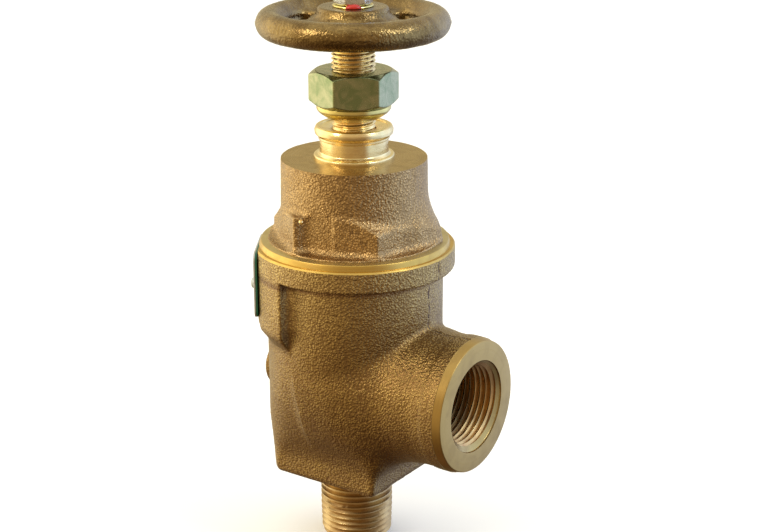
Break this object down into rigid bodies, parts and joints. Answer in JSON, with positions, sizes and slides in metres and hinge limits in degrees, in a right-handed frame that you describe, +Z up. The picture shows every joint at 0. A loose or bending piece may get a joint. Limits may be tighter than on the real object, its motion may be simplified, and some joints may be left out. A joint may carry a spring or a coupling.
{
  "type": "pressure relief valve",
  "caption": "Angle-pattern pressure relief valve with a cast bronze body, threaded inlet below, side outlet, enclosed spring, lock nut and adjusting handwheel.",
  "frame": {"origin": "centre of the inlet at the underside of the body, where the inlet thread meets the wrench flats", "axes": "+Z up along the stem, away from the inlet; +X out of the side outlet"},
  "size_m": [0.0734, 0.0594, 0.171],
  "materials": {
    "cast_bronze": "sand-cast bronze with a fine pebbled skin, machined where it seals or is threaded",
    "machined_brass": "turned brass, bright and smooth",
    "soft_seat": "filled PTFE, matte",
    "stainless": "turned stainless steel",
    "button_steel": "plain turned steel",
    "spring_steel": "drawn spring wire, satin",
    "gasket_fibre": "compressed fibre sheet",
    "seal_rubber": "moulded nitrile rubber",
    "washer_brass": "turned brass with a golden passivated skin",
    "zinc_chromate_steel": "zinc plated with a yellow-green chromate",
    "wheel_bronze": "sand-cast bronze, darker olive-brown skin",
    "zinc_steel": "bright zinc plating",
    "green_plate": "dark green enamel with bare metal edges"
  },
  "bodies": {
    "valve_body": {"body": "cast_bronze", "seat_nozzle": "machined_brass", "disc_guide": "machined_brass", "bonnet": "cast_bronze", "bonnet_gasket": "gasket_fibre", "stem_oring": "seal_rubber", "nameplate": "green_plate", "drive_screws": "zinc_steel", "spring": "spring_steel"},
    "disc_assembly": {"disc_insert": "soft_seat", "disc_retainer": "stainless", "disc_screw": "stainless", "disc_holder": "machined_brass", "spindle": "stainless", "spindle_pin": "stainless", "lower_spring_button": "button_steel"},
    "spring_seat": {"upper_spring_button": "button_steel"},
    "adjusting_stem": {"stem": "machined_brass", "handwheel": "wheel_bronze", "wheel_washer": "washer_brass", "wheel_nut": "zinc_steel"},
    "lock_nut_seat": {"lock_washer": "washer_brass"},
    "lock_nut": {"lock_nut": "zinc_chromate_steel"}
  },
  "joints": [
    {"name": "disc_lift", "type": "slide", "parent": "valve_body", "child": "disc_assembly", "axis": [0, 0, 1], "range_m": [0, 0.003], "deforming": ["spring"]},
    {"name": "adjust_travel", "type": "slide", "parent": "valve_body", "child": "spring_seat", "axis": [0, 0, 1], "range_m": [-0.00508, 0.00254], "deforming": ["spring"]},
    {"name": "handwheel_turn", "type": "hinge", "parent": "spring_seat", "child": "adjusting_stem", "pos_m": [0, 0, 0.1], "axis": [0, 0, 1], "range_deg": [-1440, 720]},
    {"name": "lock_nut_travel", "type": "slide", "parent": "valve_body", "child": "lock_nut_seat", "axis": [0, 0, 1], "range_m": [-0.00222, 0.00254]},
    {"name": "lock_nut_turn", "type": "hinge", "parent": "lock_nut_seat", "child": "lock_nut", "pos_m": [0, 0, 0.1203], "axis": [0, 0, 1], "range_deg": [-630, 720]}
  ],
  "couplings": [
    {"joint": "adjust_travel", "follows": "handwheel_turn", "m_per_rad": 0.00020213},
    {"joint": "lock_nut_travel", "follows": "lock_nut_turn", "m_per_rad": 0.00020213}
  ]
}
